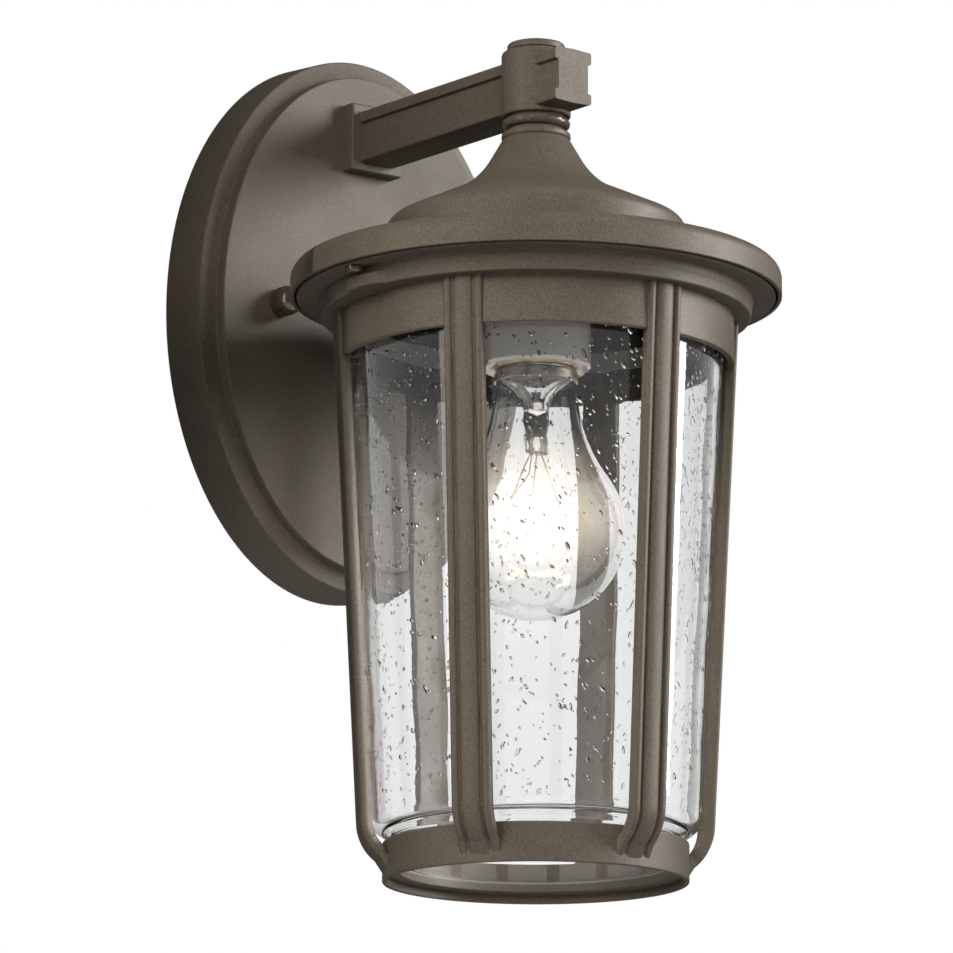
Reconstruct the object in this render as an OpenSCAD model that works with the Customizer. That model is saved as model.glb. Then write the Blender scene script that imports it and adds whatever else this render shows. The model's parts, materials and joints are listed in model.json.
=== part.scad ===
// Outdoor wall lantern: an oval backplate, a horizontal arm that ends in a hub, and a ribbed cage with a
// seeded glass shade hanging under a bell roof. Wall plane at y = 0, lantern towards -Y, Z up.

/* [Backplate] */
// Width of the oval backplate at the wall
plate_w = 138.8; // [130:0.2:150]
// Height of the oval backplate at the wall
plate_h = 191.6; // [185:0.2:205]
// Depth of the outer rim
rim_depth = 18; // [16:0.5:20]
// Depth of the raised centre face
face_depth = 22.6; // [21.5:0.1:24]
// Wall thickness of the plate
plate_t = 2; // [1.6:0.1:2.2]
// Distance between the two mounting studs
stud_spacing = 75; // [70:1:80]
// Height of the studs above the plate's centre
stud_z = 2; // [0:0.5:3]

/* [Arm] */
// Distance from the wall to the lantern's axis
reach = 115.9; // [112:0.1:130]
// Width of the arm over its flanges
arm_w = 15.5; // [15:0.1:17]
// Height of the arm
arm_h = 18.7; // [18:0.1:20]
// Height of the arm's centre above the plate's centre
arm_z = 64.9; // [62:0.1:66]
// How far the arm runs past the lantern's axis
arm_past_axis = 19.9; // [16:0.1:24]
// Depth of the long recess in each side of the arm
arm_recess = 1.4; // [0.8:0.1:1.8]
// Radius of the hub
hub_r = 11.7; // [11:0.1:12.5]

/* [Roof] */
// Radius of the brim
brim_r = 82.5; // [80:0.1:84]
// Radius of the tier above the brim
tier_r = 50.5; // [48:0.1:52]
// Wall thickness of the roof
roof_t = 2; // [1.6:0.1:2.4]

/* [Cage] */
// Outer radius of the band that the ribs start from
band_r = 66.4; // [66:0.1:66.8]
// Outer radius of the bottom ring
foot_r = 50.6; // [50:0.1:51.5]
// Width of a rib
rib_w = 13.4; // [11:0.1:15]
// Radial depth of a rib
rib_depth = 4.3; // [3.5:0.1:4.4]
// Number of ribs drawn around the cage
rib_count = 6; // [6:1:6]

/* [Glass] */
// Outer radius of the glass at its top rim
glass_top_r = 63.4; // [63:0.1:63.6]
// Outer radius of the glass above its rounded shoulder
glass_low_r = 54.9; // [54:0.1:55]
// Thickness of the glass
glass_t = 2.6; // [2:0.1:3]

/* [Bulb] */
// Radius of the bulb
bulb_r = 30; // [28:0.1:30.5]
// Height of the bulb's lowest point
bulb_tip_z = -118; // [-120:0.5:-116]

/* [Hidden] */
$fn = 96;

bronze = [0.33, 0.30, 0.26];
dark_bronze = [0.20, 0.17, 0.14];
zinc = [0.72, 0.72, 0.70];
brass = [0.78, 0.62, 0.32];
black = [0.08, 0.08, 0.08];
porcelain = [0.93, 0.92, 0.88];
silicone = [0.75, 0.75, 0.72];

// backplate
oval_steps = 96;
shoulder_w = 7.8;
rim_steps = [[0, 1.6], [0.6, 0.7], [1.5, 0]];
face_steps = [[0, 0.5], [0.5, 0]];
wire_hole_r = 4;
arm_screw_pitch = 6.4;
stud_r = 2.08;
stud_gap = 0.05;

// crossbars behind the plate
bar_t = 1.6;
box_bar_w = 22;
box_bar_h = 106;
box_slot_pitch = 79.4;
box_slot_l = 14.4;
box_slot_r = 2.3;
stud_bar_w = 92;
stud_bar_h = 20;
bar_screw_x = 6;
ground_screw_x = -18;

// collar and arm
collar_w = 21.8;
collar_h = 24;
collar_t = 5.6;
collar_edge = 0.8;
flange_h = 3.9;
flange_round = 1.2;
arm_root = face_depth + collar_t;
wire_way_r = 3.3;
arm_screw_r = 1.9;
arm_screw_l = 24;

// hub
hub_low = 54.3;
hub_top = 77;
hub_round = 1.5;
hub_hollow_r = 8.2;
hub_floor = 57;
groove_h = 0.4;
cap_r = 9.8;
cap_h = 2.5;
plug_r = hub_hollow_r;
plug_h = 4;

// threaded nipple and its nuts
nipple_r = 4.76;
nipple_bore_r = 3.4;
nipple_low = 8;
nipple_top = 60.6;
nipple_hole_r = 4.86;
nut_flats = 14;
nut_h = 3.2;

// roof
neck_z = 46.4;
neck_floor = 42.5;
flare_top = [15.5, 39.2];
flare_r = 29.3;
flare_centre = flare_top + flare_r * [cos(30), sin(30)];
tier_round = 4.6;
tier_centre = [tier_r - tier_round, 14.15];
tier_foot = 6.5;
brim_round = 4.7;
brim_centre = [brim_r - brim_round, -2.5];
brim_low = -8.5;
lip_t = 1.3;
skirt_r = brim_r - lip_t;
flare_slope = 25;

// cage
flange_top = -6.8;
flange_low = -9;
flange_r = 80.3;
step_top_r = 73.2;
step_low_r = 72;
step_low = -15.6;
step_edge = 0.6;
band_low = -31.5;
band_t = 2.2;
pocket_r = 70;
pocket_low = -13.2;
cage_screw_at = 76.6;
cage_screw_r = 1.7;
cage_screw_hole_r = 2.1;
cage_screw_bore_r = 1.75;
cage_head_r = 3.1;
cage_head_h = 2.2;
lug_r = 12;
lug_out = 74.4;
lug_top = -11.4;

// ribs
rib_top_r = 68.6;
rib_bend_r = 17;
rib_bend_centre = [42.62, -186.3];
rib_lean = 3;
rib_bend_end = 52;
bead_w = 6.6;
side_bead_w = 2.5;
side_bead_inset = 0.6;
groove_inset = 1.5;

// bottom ring
foot_top = -192.8;
foot_low = -206;
foot_t = 1.6;
foot_round = 2.2;
ledge_top = -200;
ledge_low = -202.6;
ledge_r = 44.6;
notch_w = 6;
notch_angle = 72;

// glass
glass_top = -16;
shoulder_round = 6;
shoulder_centre = [glass_low_r - shoulder_round, -184.3];
glass_neck_r = 47.6;
seat_t = 0.7;
glass_low = ledge_top + seat_t;

// bulb and socket
bulb_z = bulb_tip_z + bulb_r;
bulb_t = 0.8;
bulb_neck_r = 13.4;
bulb_neck_top = -35;
bulb_blend_r = 60;
bulb_blend_z = bulb_z + sqrt(pow(bulb_r + bulb_blend_r, 2) - pow(bulb_neck_r + bulb_blend_r, 2));
bulb_blend_angle = asin((bulb_blend_z - bulb_z) / (bulb_r + bulb_blend_r));
base_r = 12.9;
base_root_r = 12.1;
base_top = -15;
base_pitch = 3.63;
base_turns = 5;
collar_top = -34.6;
stem_low = -62;
support_splay = 28;
filament_z = -79;
filament_half = 11;
socket_mouth = -33;
socket_r = 18.5;
socket_shell_r = 13.2;
socket_shell_t = 0.6;
socket_top = 6;
socket_cap_top = 12;

// knurled cap nuts
nut_r = 5.1;
nut_skirt = 5.6;
nut_dome_r = 4.7;
nut_gap = 0.1;
knurls = 20;

// wiring
wire_r = 1.05;
wire_x = 1.3;
wire_bend = 4.2;
wire_back = 12;
wire_end = 38;
wire_nut_h = 20;

function arc(centre, r, from, to, n = 10) =
    [for (i = [0:n]) let(t = from + (to - from) * i / n) centre + r * [cos(t), sin(t)]];

function oval(inset) = [
    for (i = [0:oval_steps - 1])
        let(t = 360 * i / oval_steps) [(plate_w / 2 - inset) * cos(t), (plate_h / 2 - inset) * sin(t)]
];

// Places children so that their +Z points out of the wall, starting at the given depth
module out_of_wall(depth) translate([0, -depth, 0]) rotate([90, 0, 0]) children();

// Places children on the lantern's vertical axis
module on_axis() translate([0, -reach, 0]) children();

// Turns children from +X to an angle counted from the front towards the left
module round_axis(angle) rotate([0, 0, 270 - angle]) children();

module oval_slab(inset, t) linear_extrude(t) polygon(oval(inset));

module hex_nut(flats, h, bore) difference() {
    cylinder(d = flats / cos(30), h = h, $fn = 6);
    translate([0, 0, -1]) cylinder(r = bore, h = h + 2);
}

// Head and shank of a screw whose shank points along +Z from the head's seat
module pan_screw(head_r, head_h, shank_r, shank_l) rotate_extrude() polygon(concat(
    [[0, shank_l], [0, -head_h]],
    [for (p = arc([head_r - head_h * 0.7, -head_h * 0.3], head_h * 0.7, -90, 0, 6)) p],
    [[head_r, 0], [shank_r, 0], [shank_r, shank_l - 0.5], [shank_r - 0.5, shank_l]]
));

// Rim and raised face, each with its front edge eased in small steps: [inset, distance below its top]
module plate_body() {
    for (step = rim_steps) out_of_wall(0) oval_slab(step[0], rim_depth - step[1]);
    for (step = face_steps) out_of_wall(0) oval_slab(shoulder_w + step[0], face_depth - step[1]);
}

module backplate() {
    color(bronze) difference() {
        union() plate_body();
        out_of_wall(-1) oval_slab(plate_t, rim_depth - plate_t + 1);
        out_of_wall(0) oval_slab(shoulder_w + plate_t, face_depth - plate_t);
        for (x = [-1, 1] * stud_spacing / 2)
            translate([x, 0, stud_z]) out_of_wall(0) cylinder(r = stud_r + 0.5, h = 30);
        translate([0, 0, arm_z]) out_of_wall(0) cylinder(r = wire_hole_r, h = 30);
        for (z = [-1, 1] * arm_screw_pitch)
            translate([0, 0, arm_z + z]) out_of_wall(0) cylinder(r = arm_screw_r + 0.3, h = 30);
    }
}

module box_bar() {
    color(zinc) out_of_wall(0) linear_extrude(bar_t) difference() {
        square([box_bar_w, box_bar_h], center = true);
        for (z = [-1, 1] * box_slot_pitch / 2)
            translate([0, z]) {
                for (e = [-1, 1] * (box_slot_l / 2 - box_slot_r)) translate([0, e]) circle(box_slot_r);
                square([2 * box_slot_r, box_slot_l - 2 * box_slot_r], center = true);
            }
        for (x = [-1, 1] * bar_screw_x) translate([x, stud_z]) circle(1.65);
    }
}

module stud_bar() {
    color(zinc) out_of_wall(bar_t) linear_extrude(bar_t) difference() {
        translate([0, stud_z]) square([stud_bar_w, stud_bar_h], center = true);
        for (x = [-1, 1] * stud_spacing / 2) translate([x, stud_z]) circle(stud_r + stud_gap);
        for (x = [-1, 1] * bar_screw_x) translate([x, stud_z]) circle(1.65);
        translate([ground_screw_x, stud_z]) circle(1.65);
    }
}

// A screw that points into the wall, its head's seat at the given depth
module inward_screw(x, z, depth, head_r, head_h, shank_r, shank_l)
    translate([x, -depth, z]) rotate([-90, 0, 0]) pan_screw(head_r, head_h, shank_r, shank_l);

module bar_screws() {
    color(zinc) for (x = [-1, 1] * bar_screw_x)
        inward_screw(x, stud_z, 2 * bar_t, 3, 1.8, 1.6, 2 * bar_t - 0.2);
}

module ground_screw() {
    color([0.15, 0.45, 0.22]) inward_screw(ground_screw_x, stud_z, 2 * bar_t, 4, 2.2, 1.6, 2 * bar_t - 0.2);
}

module mounting_studs() {
    color(zinc) for (x = [-1, 1] * stud_spacing / 2)
        translate([x, 0, stud_z]) out_of_wall(bar_t + 0.2) cylinder(r = stud_r, h = face_depth + 5);
}

module stud_lock_nuts() {
    color(zinc) for (x = [-1, 1] * stud_spacing / 2)
        translate([x, 0, stud_z]) out_of_wall(2 * bar_t) hex_nut(8, 2.6, stud_r + stud_gap);
}

module cap_nut(side) {
    color(dark_bronze) translate([side * stud_spacing / 2, 0, stud_z]) out_of_wall(face_depth + nut_gap)
        difference() {
            union() {
                rotate_extrude() polygon(concat(
                    [[0, 0], [nut_r - 0.7, 0], [nut_r - 0.3, 0.4], [nut_r - 0.3, nut_skirt]],
                    arc([0, nut_skirt], nut_dome_r, 0, 90)
                ));
                for (i = [0:knurls - 1]) rotate([0, 0, 360 * i / knurls])
                    translate([nut_r - 0.7, -0.35, 0.6]) cube([0.7, 0.7, nut_skirt - 0.9]);
            }
            translate([0, 0, -1]) cylinder(r = stud_r + stud_gap, h = 8.2);
        }
}

module arm_collar() {
    color(bronze) translate([0, 0, arm_z]) difference() {
        hull() {
            out_of_wall(face_depth) linear_extrude(collar_t - collar_edge)
                square([collar_w, collar_h], center = true);
            out_of_wall(arm_root - 0.1) linear_extrude(0.1)
                square([collar_w, collar_h] - [2, 2] * collar_edge, center = true);
        }
        out_of_wall(face_depth - 1) cylinder(r = wire_hole_r, h = collar_t + 2);
        for (z = [-1, 1] * arm_screw_pitch) translate([0, 0, z]) out_of_wall(face_depth - 1)
            cylinder(r = arm_screw_r + 0.3, h = collar_t + 2);
    }
}

// Cross-section of the arm: two rounded flanges and a web set back on both sides
module arm_section() {
    square([arm_w - 2 * arm_recess, arm_h], center = true);
    for (s = [-1, 1]) translate([0, s * (arm_h - flange_h) / 2]) {
        square([arm_w - 2 * flange_round, flange_h], center = true);
        square([arm_w, flange_h - 2 * flange_round], center = true);
        for (x = [-1, 1] * (arm_w / 2 - flange_round), z = [-1, 1] * (flange_h / 2 - flange_round))
            translate([x, z]) circle(flange_round);
    }
}

module hub_outside() rotate_extrude() polygon(concat(
    [[0, hub_low], [hub_r - 0.8, hub_low], [hub_r, hub_low + 0.8]],
    arc([hub_r - hub_round, hub_top - hub_round], hub_round, 0, 90),
    [[0, hub_top]]
));

module arm() {
    color(bronze) difference() {
        union() {
            translate([0, 0, arm_z]) out_of_wall(arm_root)
                linear_extrude(reach + arm_past_axis - arm_root) arm_section();
            on_axis() hub_outside();
        }
        on_axis() translate([0, 0, hub_floor]) cylinder(r = hub_hollow_r, h = 30);
        on_axis() translate([0, 0, hub_low - 1]) cylinder(r = nipple_hole_r, h = 20);
        translate([0, 0, arm_z]) out_of_wall(arm_root - 1)
            cylinder(r = wire_way_r, h = reach - arm_root);
        for (z = [-1, 1] * arm_screw_pitch)
            translate([0, 0, arm_z + z]) out_of_wall(arm_root - 1) cylinder(r = arm_screw_r, h = 20);
    }
}

// Two screws from inside the plate that hold the plate, the collar and the arm together
module arm_screws() {
    color(zinc) for (z = [-1, 1] * arm_screw_pitch)
        translate([0, 0, arm_z + z]) out_of_wall(face_depth - plate_t)
            pan_screw(2.9, 2, arm_screw_r, arm_screw_l);
}

module hub_cap() {
    color(bronze) on_axis() rotate_extrude() polygon(concat(
        [[0, hub_top - plug_h], [plug_r, hub_top - plug_h], [plug_r, hub_top], [cap_r - 0.8, hub_top],
         [cap_r - 0.8, hub_top + groove_h], [cap_r, hub_top + groove_h]],
        arc([cap_r - 1.2, hub_top + groove_h + cap_h - 1.2], 1.2, 0, 90, 6),
        [[0, hub_top + groove_h + cap_h]]
    ));
}

module hub_locknut() {
    color(zinc) on_axis() translate([0, 0, hub_floor]) hex_nut(nut_flats, nut_h, nipple_r);
}

module nipple() {
    color(zinc) on_axis() translate([0, 0, nipple_low]) difference() {
        cylinder(r = nipple_r, h = nipple_top - nipple_low);
        translate([0, 0, -1]) cylinder(r = nipple_bore_r, h = 70);
    }
}

// Rounded bead washer under the hub
module neck_ring_upper() {
    color(dark_bronze) on_axis() rotate_extrude() polygon(concat(
        [[nipple_hole_r, hub_low], [nipple_hole_r, 50], [10, 50]],
        arc([9.6, 51.9], 1.8, -60, 60, 8),
        [[10, 54], [10, hub_low]]
    ));
}

// Washer that widens downwards on to the roof's neck
module neck_ring_lower() {
    color(bronze) on_axis() rotate_extrude() polygon([
        [nipple_hole_r, neck_z], [nipple_hole_r, 50], [9.4, 50], [9.6, 49.6], [11.5, 48.6], [11.7, 48.2],
        [11.7, 46.8], [11.3, neck_z]
    ]);
}

module roof_profile() polygon(concat(
    [[nipple_hole_r, neck_z], [11.34, neck_z]],
    arc(flare_centre, flare_r, 210, 270 - flare_slope),
    arc(tier_centre, tier_round, 90 - flare_slope, 0, 8),
    [[tier_r, tier_foot]],
    arc(brim_centre, brim_round, 90, 0, 8),
    [[brim_r, brim_low], [skirt_r, brim_low]],
    arc(brim_centre, brim_round - lip_t, 0, 90, 8),
    [[tier_r - roof_t, tier_foot - roof_t]],
    arc(tier_centre, tier_round - roof_t, 0, 90 - flare_slope, 8),
    arc(flare_centre, flare_r + roof_t, 270 - flare_slope, 210),
    [[11.28, neck_floor], [nipple_hole_r, neck_floor]]
));

module roof() {
    color(bronze) on_axis() {
        rotate_extrude() roof_profile();
        for (s = [-1, 1]) translate([s * cage_screw_at, 0, flange_top]) difference() {
            cylinder(r = 3.4, h = -flange_top + 1.2);
            translate([0, 0, -1]) cylinder(r = cage_screw_bore_r, h = 7.4);
        }
    }
}

module roof_locknut() {
    color(zinc) on_axis() translate([0, 0, neck_floor - nut_h]) hex_nut(nut_flats, nut_h, nipple_r);
}

module socket_cap() {
    color(zinc) on_axis() rotate_extrude() polygon([
        [nipple_r, nipple_low], [nipple_r, socket_cap_top + 6], [8, socket_cap_top + 6],
        [8, socket_cap_top], [socket_r - 2.5, socket_cap_top], [socket_r - 0.5, socket_cap_top - 2],
        [socket_r - 0.5, socket_top], [socket_r - 2, socket_top], [socket_r - 2, nipple_low]
    ]);
}

module socket_body() {
    color(porcelain) on_axis() rotate_extrude() polygon([
        [socket_shell_r + socket_shell_t, socket_mouth], [socket_r - 1, socket_mouth],
        [socket_r, socket_mouth + 1], [socket_r, socket_top - 1], [socket_r - 1, socket_top],
        [5, socket_top], [5, -3], [socket_shell_r + socket_shell_t, -3]
    ]);
}

module socket_shell() {
    color(brass) on_axis() rotate_extrude() polygon([
        [socket_shell_r, socket_mouth - 0.6], [socket_shell_r + 1.6, socket_mouth - 0.6],
        [socket_shell_r + 1.6, socket_mouth], [socket_shell_r + socket_shell_t, socket_mouth],
        [socket_shell_r + socket_shell_t, -3], [7, -3], [7, -3.6], [socket_shell_r, -3.6]
    ]);
}

module socket_contact() {
    color(brass) on_axis() {
        translate([0, 0, -9.6]) cylinder(r = 3, h = 0.6);
        translate([1.5, -2, -9]) cube([1, 4, 15]);
    }
}

// One insulated lead: up the nipple, round into the arm, out behind the plate and down to its connector
module lead_wire(x) {
    run = reach - wire_back - 2 * wire_bend;
    bend_z = arm_z - wire_bend;
    on_axis() translate([x, 0, socket_top + 0.2]) cylinder(r = wire_r, h = bend_z - socket_top - 0.2);
    on_axis() translate([x, wire_bend, bend_z]) rotate([90, 0, -90])
        rotate_extrude(angle = 90) translate([wire_bend, 0]) circle(wire_r, $fn = 24);
    translate([x, -wire_back - wire_bend - run, arm_z]) rotate([-90, 0, 0]) cylinder(r = wire_r, h = run);
    translate([x, -wire_back - wire_bend, bend_z]) rotate([90, 0, 90])
        rotate_extrude(angle = 90) translate([wire_bend, 0]) circle(wire_r, $fn = 24);
    translate([x, -wire_back, wire_end]) cylinder(r = wire_r, h = bend_z - wire_end);
}

module lead_wires() {
    color(black) for (s = [-1, 1]) lead_wire(s * wire_x);
}

// Twist-on connectors at the ends of the leads
module wire_nuts() {
    color([0.85, 0.45, 0.1]) for (s = [-1, 1])
        translate([s * (wire_x + 4.6), -wire_back, wire_end - wire_nut_h]) rotate_extrude() polygon([
            [0, 0], [3.2, 0], [4, 0.8], [5.6, wire_nut_h - 4], [5.6, wire_nut_h], [0, wire_nut_h]
        ]);
}

function bulb_outline(inset) = concat(
    arc([0, bulb_z], bulb_r - inset, -90, bulb_blend_angle, 24),
    arc([bulb_neck_r + bulb_blend_r, bulb_blend_z], bulb_blend_r + inset, 180 + bulb_blend_angle, 180, 10),
    [[bulb_neck_r - inset, bulb_neck_top]]
);

module bulb_glass() {
    color([0.9, 0.95, 1, 0.35]) on_axis() rotate_extrude() polygon(concat(
        bulb_outline(0), [for (i = [0:len(bulb_outline(bulb_t)) - 1])
            bulb_outline(bulb_t)[len(bulb_outline(bulb_t)) - 1 - i]]
    ));
}

// Flared glass stem with the press that holds the lead-in wires
module bulb_stem() {
    color([0.85, 0.9, 0.95, 0.5]) on_axis() rotate_extrude() polygon([
        [0, stem_low], [3.4, stem_low], [4, stem_low + 1], [4, -48], [5, -44], [8, -39], [12.4, -36.4],
        [12.4, -35.4], [7, -38.4], [3, -44], [0, -45]
    ]);
}

module bulb_support_wires() {
    color(zinc) on_axis() for (s = [-1, 1]) translate([s * 2, 0, stem_low])
        rotate([0, 180 - s * support_splay, 0]) cylinder(r = 0.3, h = 18.2, $fn = 16);
}

// The coiled filament, drawn as the slim bow that its turns fill
module bulb_filament() {
    color([1, 0.75, 0.35]) on_axis() translate([0, 0, filament_z])
        rotate_extrude(angle = 180) translate([filament_half, 0]) circle(0.6, $fn = 16);
}

// Threaded shell with a rolled collar round the neck of the glass
module bulb_base() {
    color(zinc) on_axis() rotate_extrude() polygon(concat(
        [[0, base_top - 1], [0, base_top], [9, base_top], [base_root_r, base_top - 2]],
        [for (i = [0:base_turns - 1], p = [0:3]) let(z = base_top - 2 - base_pitch * i)
            [p == 0 || p == 3 ? base_root_r : base_r, z - base_pitch * (0.1 + 0.26 * p)]],
        [[base_root_r, collar_top], [bulb_neck_r + 0.6, collar_top], [bulb_neck_r + 0.6, collar_top - 3],
         [bulb_neck_r + 0.1, collar_top - 3], [bulb_neck_r + 0.1, bulb_neck_top],
         [base_root_r - 0.7, bulb_neck_top],
         [base_root_r - 0.7, base_top - 2.4], [8.6, base_top - 1]]
    ));
}

module bulb_insulator() {
    color(black) on_axis() translate([0, 0, base_top]) cylinder(r1 = 8.4, r2 = 5, h = 3.4);
}

module bulb_contact() {
    color(brass) on_axis() translate([0, 0, base_top + 3.4]) cylinder(r = 4.4, h = 1.3);
}

module top_ring_profile() polygon(concat(
    [[band_r - band_t, band_low + 0.5], [band_r - band_t + 0.5, band_low], [band_r - 0.7, band_low],
     [band_r, band_low + 0.7], [band_r, step_low], [step_low_r - step_edge, step_low]],
    arc([step_low_r - step_edge, step_low + step_edge], step_edge, -90, 0, 4),
    [[step_top_r, flange_low], [flange_r, flange_low], [flange_r, flange_top], [pocket_r, flange_top],
     [pocket_r, pocket_low], [band_r - band_t, pocket_low]]
));

// Lug that stands out of the step beside each cage screw
module screw_lug() difference() {
    translate([lug_out - lug_r, 0, step_low]) cylinder(r = lug_r, h = lug_top - step_low);
    translate([0, 0, step_low - 1]) cylinder(r = pocket_r + 0.6, h = 10);
}

module cage_top_ring() {
    color(bronze) on_axis() difference() {
        union() {
            rotate_extrude() top_ring_profile();
            for (side = [90, 270]) round_axis(side) screw_lug();
        }
        for (s = [-1, 1]) translate([s * cage_screw_at, 0, flange_low - 1])
            cylinder(r = cage_screw_hole_r, h = 4);
    }
}

// Side view of a rib, radius along X and height along Y, its outer line set in by the given amount
module rib_side(inset) polygon(concat(
    [[rib_top_r - inset, step_low]],
    arc(rib_bend_centre, rib_bend_r - inset, -rib_lean, -rib_bend_end, 12),
    [[foot_r - 2, rib_bend_centre[1] - (rib_bend_r - inset) * sin(rib_bend_end)
        - (rib_bend_centre[0] + (rib_bend_r - inset) * cos(rib_bend_end) - foot_r + 2) / tan(rib_bend_end)],
     [foot_r - 2, rib_bend_centre[1] - (rib_bend_r - rib_depth) * sin(rib_bend_end) + 1]],
    arc(rib_bend_centre, rib_bend_r - rib_depth, -rib_bend_end, -rib_lean, 12),
    [[rib_top_r - rib_depth, step_low]]
));

// A strip of the rib's width, standing on the front of the cage
module rib_strip(inset, w) rotate([90, 0, 0]) linear_extrude(w, center = true) rib_side(inset);

module rib(index) {
    color(bronze) on_axis() round_axis(360 / rib_count * (index - 1)) difference() {
        union() {
            rib_strip(groove_inset, rib_w);
            rib_strip(0, bead_w);
            for (s = [-1, 1]) translate([0, s * (rib_w - side_bead_w) / 2, 0])
                rib_strip(side_bead_inset, side_bead_w);
        }
        translate([0, 0, band_low]) cylinder(r = band_r, h = 40);
        translate([0, 0, foot_low - 1]) cylinder(r = foot_r, h = foot_top - foot_low + 1);
    }
}

module foot_profile() polygon(concat(
    [[foot_r - foot_t, foot_low], [foot_r, foot_low]],
    arc([foot_r - foot_round, foot_top - foot_round], foot_round, 0, 60, 6),
    [[foot_r - foot_t, foot_top], [foot_r - foot_t, ledge_top], [ledge_r, ledge_top], [ledge_r, ledge_low],
     [foot_r - foot_t, ledge_low]]
));

module cage_bottom_ring() {
    color(bronze) on_axis() difference() {
        rotate_extrude() foot_profile();
        round_axis(notch_angle) translate([ledge_r - 1, -notch_w / 2, ledge_low - 1])
            cube([2.6, notch_w, 1.8]);
    }
}

// Tapered tumbler, open at both ends, with a rounded shoulder and a short neck
module glass_shade() {
    color([0.9, 0.95, 0.95, 0.35]) on_axis() rotate_extrude() polygon(concat(
        [[glass_top_r, glass_top]],
        arc(shoulder_centre, shoulder_round, 0, -76, 10),
        [[glass_neck_r + 0.6, shoulder_centre[1] - shoulder_round - 1.2],
         [glass_neck_r, shoulder_centre[1] - shoulder_round - 2.4], [glass_neck_r, glass_low],
         [glass_neck_r - glass_t, glass_low],
         [glass_neck_r - glass_t, shoulder_centre[1] - shoulder_round]],
        arc(shoulder_centre, shoulder_round - glass_t, -86, 0, 10),
        [[glass_top_r - glass_t, glass_top]]
    ));
}

// Soft channel over the glass's top rim that centres it in the band
module glass_top_gasket() {
    color(silicone) on_axis() rotate_extrude() polygon([
        [glass_top_r - glass_t - 1.2, glass_top - 5], [glass_top_r - glass_t - 0.26, glass_top - 5],
        [glass_top_r - glass_t, glass_top], [glass_top_r, glass_top], [glass_top_r - 0.2, glass_top - 4],
        [band_r - band_t, glass_top - 4], [band_r - band_t, glass_top + 1.6],
        [glass_top_r - glass_t - 1.2, glass_top + 1.6]
    ]);
}

module glass_seat_gasket() {
    color(silicone) on_axis() translate([0, 0, ledge_top]) difference() {
        cylinder(r = foot_r - foot_t - 0.2, h = seat_t);
        translate([0, 0, -1]) cylinder(r = ledge_r + 0.3, h = 3);
    }
}

module cage_screw(side) {
    color(dark_bronze) on_axis() translate([side * cage_screw_at, 0, flange_low]) difference() {
        pan_screw(cage_head_r, cage_head_h, cage_screw_r, 8);
        translate([-2, -0.35, -cage_head_h - 1]) cube([4, 0.7, 2]);
    }
}

backplate();
box_bar();
stud_bar();
bar_screws();
mounting_studs();
stud_lock_nuts();
ground_screw();
cap_nut(-1);  // cap_nut_left
cap_nut(1);  // cap_nut_right
arm_collar();
arm_screws();
arm();
hub_cap();
hub_locknut();
nipple();
neck_ring_upper();
neck_ring_lower();
roof();
roof_locknut();
socket_cap();
socket_body();
socket_shell();
socket_contact();
lead_wires();
wire_nuts();
bulb_glass();
bulb_stem();
bulb_support_wires();
bulb_filament();
bulb_base();
bulb_insulator();
bulb_contact();
cage_top_ring();
rib(1);  // rib_1
rib(2);  // rib_2
rib(3);  // rib_3
rib(4);  // rib_4
rib(5);  // rib_5
rib(6);  // rib_6
cage_bottom_ring();
glass_shade();
glass_top_gasket();
glass_seat_gasket();
cage_screw(-1);  // cage_screw_left
cage_screw(1);  // cage_screw_right
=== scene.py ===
"""Looks of an outdoor wall lantern: bronze powder-coated castings round a seeded glass shade and a lit bulb.

Outlines are in millimetres in the frame's own axes: radius from the lantern's axis, then height.
"""

import functools
import json
import math
import random

import bmesh
import bpy
from mathutils import Matrix, Vector


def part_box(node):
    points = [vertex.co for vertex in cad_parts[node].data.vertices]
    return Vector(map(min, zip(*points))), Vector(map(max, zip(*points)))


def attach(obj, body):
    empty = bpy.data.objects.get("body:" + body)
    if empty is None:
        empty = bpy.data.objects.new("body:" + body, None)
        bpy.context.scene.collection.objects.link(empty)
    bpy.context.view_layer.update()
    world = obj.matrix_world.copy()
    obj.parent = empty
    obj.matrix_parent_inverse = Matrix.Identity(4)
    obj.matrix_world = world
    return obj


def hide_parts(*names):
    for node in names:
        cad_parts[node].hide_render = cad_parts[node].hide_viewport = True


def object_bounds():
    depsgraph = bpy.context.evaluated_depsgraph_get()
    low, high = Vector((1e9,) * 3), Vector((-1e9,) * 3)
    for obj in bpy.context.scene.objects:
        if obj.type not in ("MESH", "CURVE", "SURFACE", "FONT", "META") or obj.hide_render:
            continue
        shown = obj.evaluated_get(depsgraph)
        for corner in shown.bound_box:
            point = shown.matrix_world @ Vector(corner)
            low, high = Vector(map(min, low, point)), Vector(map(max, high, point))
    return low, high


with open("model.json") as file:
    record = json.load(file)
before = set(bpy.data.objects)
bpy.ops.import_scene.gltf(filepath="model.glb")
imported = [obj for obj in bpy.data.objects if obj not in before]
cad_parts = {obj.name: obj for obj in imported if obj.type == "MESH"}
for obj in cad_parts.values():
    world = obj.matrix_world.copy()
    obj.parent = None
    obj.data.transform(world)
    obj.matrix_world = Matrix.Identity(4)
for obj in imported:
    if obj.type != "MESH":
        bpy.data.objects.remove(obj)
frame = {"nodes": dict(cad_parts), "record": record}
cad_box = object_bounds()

MM = 0.001
UP = Vector((0, 0, 1))
OUT_OF_WALL = Vector((0, -1, 0))
FINE_ROUND = 360
ROUND = 128
MERGE_WITHIN = 1e-7
CREASE = math.radians(36)

SHOP = random.Random(7)


@functools.cache
def low(node):
    """Lowest corner of a CAD node, in millimetres."""
    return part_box(node)[0] / MM


@functools.cache
def high(node):
    """Highest corner of a CAD node, in millimetres."""
    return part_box(node)[1] / MM


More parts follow.
